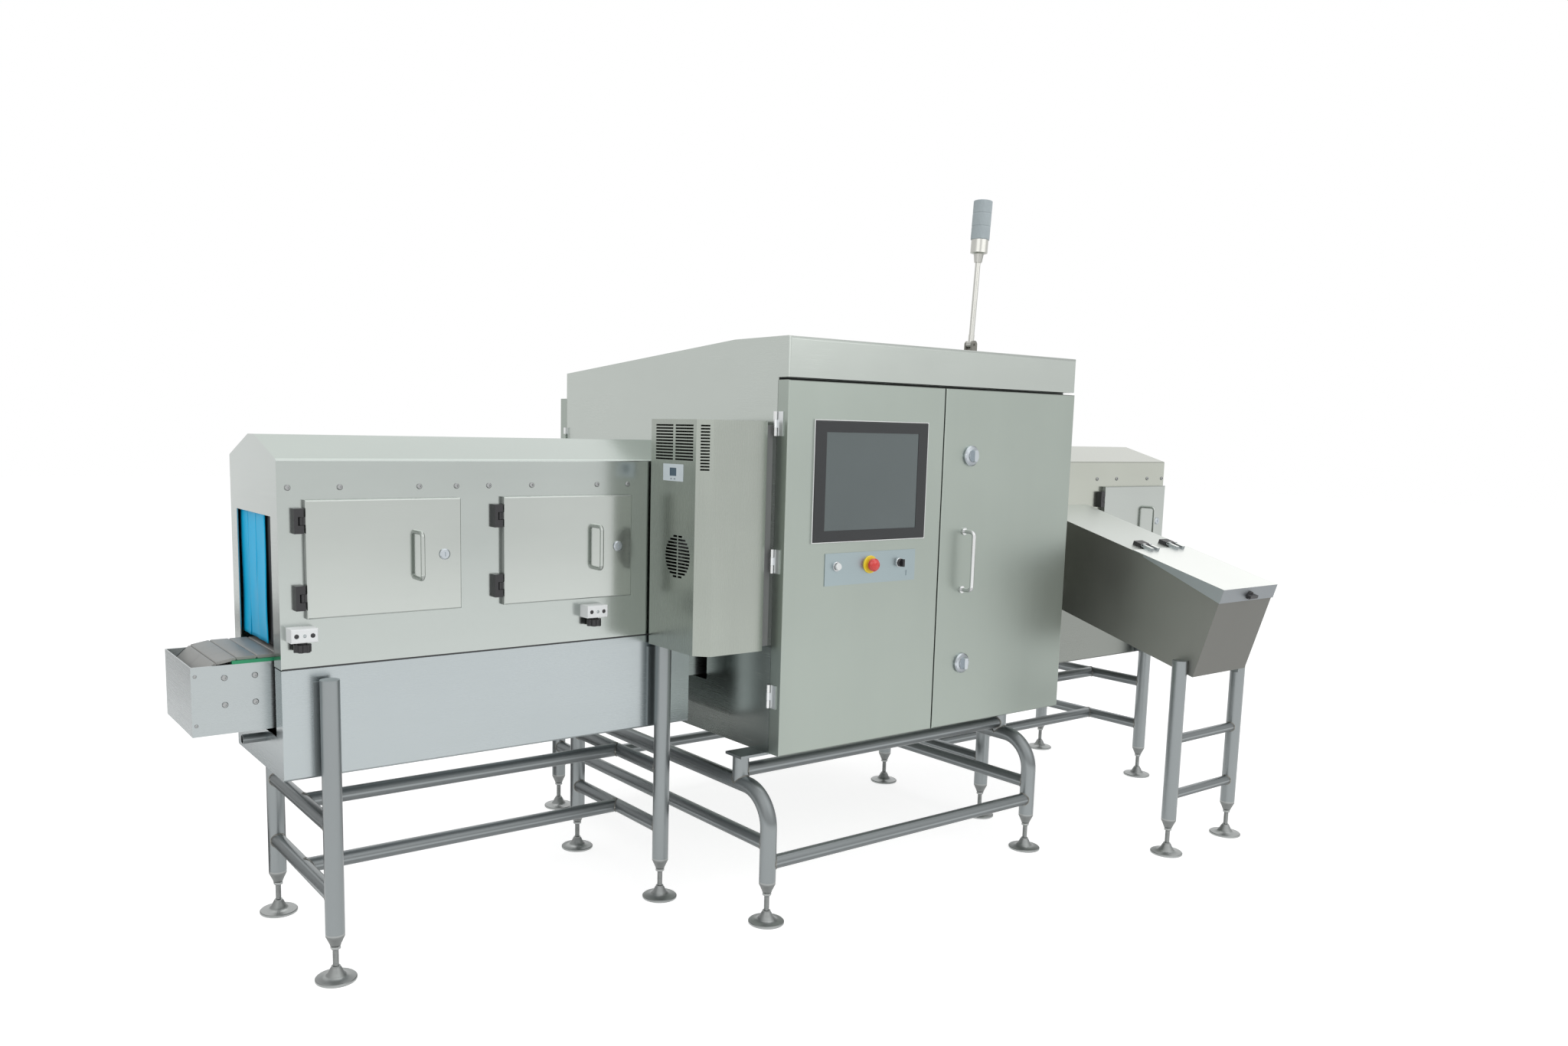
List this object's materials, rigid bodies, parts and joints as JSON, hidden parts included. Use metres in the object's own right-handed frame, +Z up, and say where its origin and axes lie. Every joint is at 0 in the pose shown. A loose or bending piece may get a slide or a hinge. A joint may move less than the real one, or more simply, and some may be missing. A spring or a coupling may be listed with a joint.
{
  "type": "x-ray inspection system",
  "caption": "Food x-ray inspection system: belt through guarded infeed and outfeed tunnels and a shielded cabinet with touch panel, cooling unit, signal lamp and side reject chute.",
  "frame": {"origin": "centre of the bounding box's footprint on the floor", "axes": "+X along the belt from infeed to outfeed, -Y towards the operator, +Z up"},
  "size_m": [4.17, 1.9454, 2.2757],
  "materials": {
    "stainless": "brushed stainless sheet",
    "tube": "satin stainless tube",
    "bright": "polished stainless",
    "belt": "grey moulded belt links",
    "strip_blue": "blue lead-rubber strips",
    "strip_green": "green low-friction plastic",
    "white_plastic": "white moulded plastic",
    "black_plastic": "black moulded plastic",
    "red_plastic": "red moulded plastic",
    "lens": "ribbed milky lamp lens",
    "glass": "touch panel glass",
    "aluminium": "machined aluminium",
    "grey_paint": "grey powder coat"
  },
  "bodies": {
    "machine": {"infeed_hood": "stainless", "infeed_skirt": "stainless", "outfeed_hood": "stainless", "outfeed_skirt": "stainless", "cabinet_body": "stainless", "cabinet_hinges": "bright", "scan_duct": "stainless", "xray_generator": "aluminium", "xray_detector": "aluminium", "control_computer": "grey_paint", "cooler_housing": "stainless", "cooler_frame": "grey_paint", "cooler_display": "white_plastic", "hinge_blocks": "black_plastic", "clamp_blocks": "white_plastic", "conveyor_frame": "stainless", "conveyor_end_boxes": "stainless", "wear_strips": "strip_green", "conveyor_belt": "belt", "panel_screws": "bright", "chute_box": "stainless", "pusher_cylinder": "aluminium", "infeed_frame": "tube", "outfeed_frame": "tube", "cabinet_frame": "tube", "chute_stand": "tube", "levelling_feet": "tube", "tower_base": "black_plastic"},
    "left_door": {"left_door": "stainless", "screen_housing": "black_plastic", "screen_glass": "glass", "control_plate": "stainless", "button_collars": "black_plastic"},
    "right_door": {"right_door": "stainless", "right_door_handle": "bright"},
    "rear_door": {"rear_door": "stainless"},
    "infeed_door_1": {"infeed_door_1": "stainless"},
    "infeed_door_2": {"infeed_door_2": "stainless"},
    "outfeed_door": {"outfeed_door": "stainless"},
    "infeed_lock_1": {"infeed_lock_1": "bright"},
    "infeed_lock_2": {"infeed_lock_2": "bright"},
    "outfeed_lock": {"outfeed_lock": "bright"},
    "upper_door_lock": {"upper_door_lock": "bright"},
    "lower_door_lock": {"lower_door_lock": "bright"},
    "estop_button": {"estop_button": "red_plastic"},
    "start_button": {"start_button": "white_plastic"},
    "mode_selector": {"mode_selector": "black_plastic"},
    "infeed_curtain": {"infeed_curtain": "strip_blue"},
    "outfeed_curtain": {"outfeed_curtain": "strip_blue"},
    "guide_rail": {"guide_rail": "stainless"},
    "clamp_knob_1": {"clamp_knob_1": "black_plastic"},
    "clamp_knob_2": {"clamp_knob_2": "black_plastic"},
    "drive_drum": {"drive_drum": "tube"},
    "idler_roller": {"idler_roller": "tube"},
    "cooler_fan": {"cooler_fan": "black_plastic"},
    "chute_lid": {"chute_lid": "stainless"},
    "chute_latch": {"chute_latch": "black_plastic"},
    "pusher": {"pusher_plate": "stainless"},
    "signal_tower": {"tower_pole": "aluminium", "tower_lamp": "lens"}
  },
  "joints": [
    {"name": "left_door_hinge", "type": "hinge", "parent": "machine", "child": "left_door", "pos_m": [-0.5283, -0.41865, 1.087], "axis": [0, 0, -1], "range_deg": [0, 95]},
    {"name": "right_door_hinge", "type": "hinge", "parent": "machine", "child": "right_door", "pos_m": [0.7993, -0.41865, 1.087], "axis": [0, 0, 1], "range_deg": [0, 95]},
    {"name": "rear_door_hinge", "type": "hinge", "parent": "machine", "child": "rear_door", "pos_m": [-0.5283, 0.86935, 1.087], "axis": [0, 0, 1], "range_deg": [0, 110]},
    {"name": "infeed_door_1_hinge", "type": "hinge", "parent": "machine", "child": "infeed_door_1", "pos_m": [-1.831, -0.14015, 1.123], "axis": [0, 0, -1], "range_deg": [0, 100]},
    {"name": "infeed_door_2_hinge", "type": "hinge", "parent": "machine", "child": "infeed_door_2", "pos_m": [-1.283, -0.14015, 1.123], "axis": [0, 0, -1], "range_deg": [0, 100]},
    {"name": "outfeed_door_hinge", "type": "hinge", "parent": "machine", "child": "outfeed_door", "pos_m": [1.445, -0.14015, 1.123], "axis": [0, 0, -1], "range_deg": [0, 90]},
    {"name": "infeed_lock_1_turn", "type": "hinge", "parent": "infeed_door_1", "child": "infeed_lock_1", "pos_m": [-1.45, -0.14615, 1.1235], "axis": [0, 1, 0], "range_deg": [0, 90]},
    {"name": "infeed_lock_2_turn", "type": "hinge", "parent": "infeed_door_2", "child": "infeed_lock_2", "pos_m": [-0.902, -0.14615, 1.1235], "axis": [0, 1, 0], "range_deg": [0, 90]},
    {"name": "outfeed_lock_turn", "type": "hinge", "parent": "outfeed_door", "child": "outfeed_lock", "pos_m": [1.826, -0.14615, 1.1235], "axis": [0, 1, 0], "range_deg": [0, 90]},
    {"name": "upper_door_lock_turn", "type": "hinge", "parent": "right_door", "child": "upper_door_lock", "pos_m": [0.264, -0.46915, 1.407], "axis": [0, -1, 0], "range_deg": [0, 90]},
    {"name": "lower_door_lock_turn", "type": "hinge", "parent": "right_door", "child": "lower_door_lock", "pos_m": [0.264, -0.46915, 0.708], "axis": [0, -1, 0], "range_deg": [0, 90]},
    {"name": "estop_press", "type": "slide", "parent": "left_door", "child": "estop_button", "axis": [0, 1, 0], "range_m": [0, 0.005], "stiffness_N_per_m": 600, "springref_m": -0.001},
    {"name": "start_press", "type": "slide", "parent": "left_door", "child": "start_button", "axis": [0, 1, 0], "range_m": [0, 0.004], "stiffness_N_per_m": 400, "springref_m": -0.001},
    {"name": "mode_turn", "type": "hinge", "parent": "left_door", "child": "mode_selector", "pos_m": [-0.048, -0.47115, 1.066], "axis": [0, -1, 0], "range_deg": [-45, 45]},
    {"name": "infeed_curtain_swing", "type": "hinge", "parent": "machine", "child": "infeed_curtain", "pos_m": [-1.8675, 0.09985, 1.253], "axis": [0, -1, 0], "range_deg": [0, 80]},
    {"name": "outfeed_curtain_swing", "type": "hinge", "parent": "machine", "child": "outfeed_curtain", "pos_m": [1.8675, 0.09985, 1.253], "axis": [0, 1, 0], "range_deg": [0, 80]},
    {"name": "guide_rail_slide", "type": "slide", "parent": "machine", "child": "guide_rail", "axis": [0, 1, 0], "range_m": [0, 0.02]},
    {"name": "clamp_knob_1_turn", "type": "hinge", "parent": "machine", "child": "clamp_knob_1", "pos_m": [-1.837, -0.15015, 0.91], "axis": [0, 0, 1], "continuous": true},
    {"name": "clamp_knob_2_turn", "type": "hinge", "parent": "machine", "child": "clamp_knob_2", "pos_m": [-0.984, -0.15015, 0.91], "axis": [0, 0, 1], "continuous": true},
    {"name": "drive_drum_spin", "type": "hinge", "parent": "machine", "child": "drive_drum", "pos_m": [1.985, 0.09985, 0.781], "axis": [0, 1, 0], "continuous": true},
    {"name": "idler_roller_spin", "type": "hinge", "parent": "machine", "child": "idler_roller", "pos_m": [-1.985, 0.09985, 0.781], "axis": [0, 1, 0], "continuous": true},
    {"name": "cooler_fan_spin", "type": "hinge", "parent": "machine", "child": "cooler_fan", "pos_m": [-0.76, -0.28815, 1.1], "axis": [1, 0, 0], "continuous": true},
    {"name": "chute_lid_hinge", "type": "hinge", "parent": "machine", "child": "chute_lid", "pos_m": [1.1885, -0.58346, 1.08578], "axis": [-1, 0, 0], "range_deg": [0, 105]},
    {"name": "chute_latch_turn", "type": "hinge", "parent": "chute_lid", "child": "chute_latch", "pos_m": [1.1885, -0.95083, 0.9409], "axis": [0, -0.9613, -0.2756], "range_deg": [0, 90]},
    {"name": "pusher_stroke", "type": "slide", "parent": "machine", "child": "pusher", "axis": [0, -1, 0], "range_m": [0, 0.3]},
    {"name": "tower_fold", "type": "hinge", "parent": "machine", "child": "signal_tower", "pos_m": [0.4255, -0.30015, 1.787], "axis": [0, 1, 0], "range_deg": [-3.4, 86.6]}
  ],
  "couplings": [
    {"joint": "idler_roller_spin", "follows": "drive_drum_spin", "ratio": 1}
  ]
}
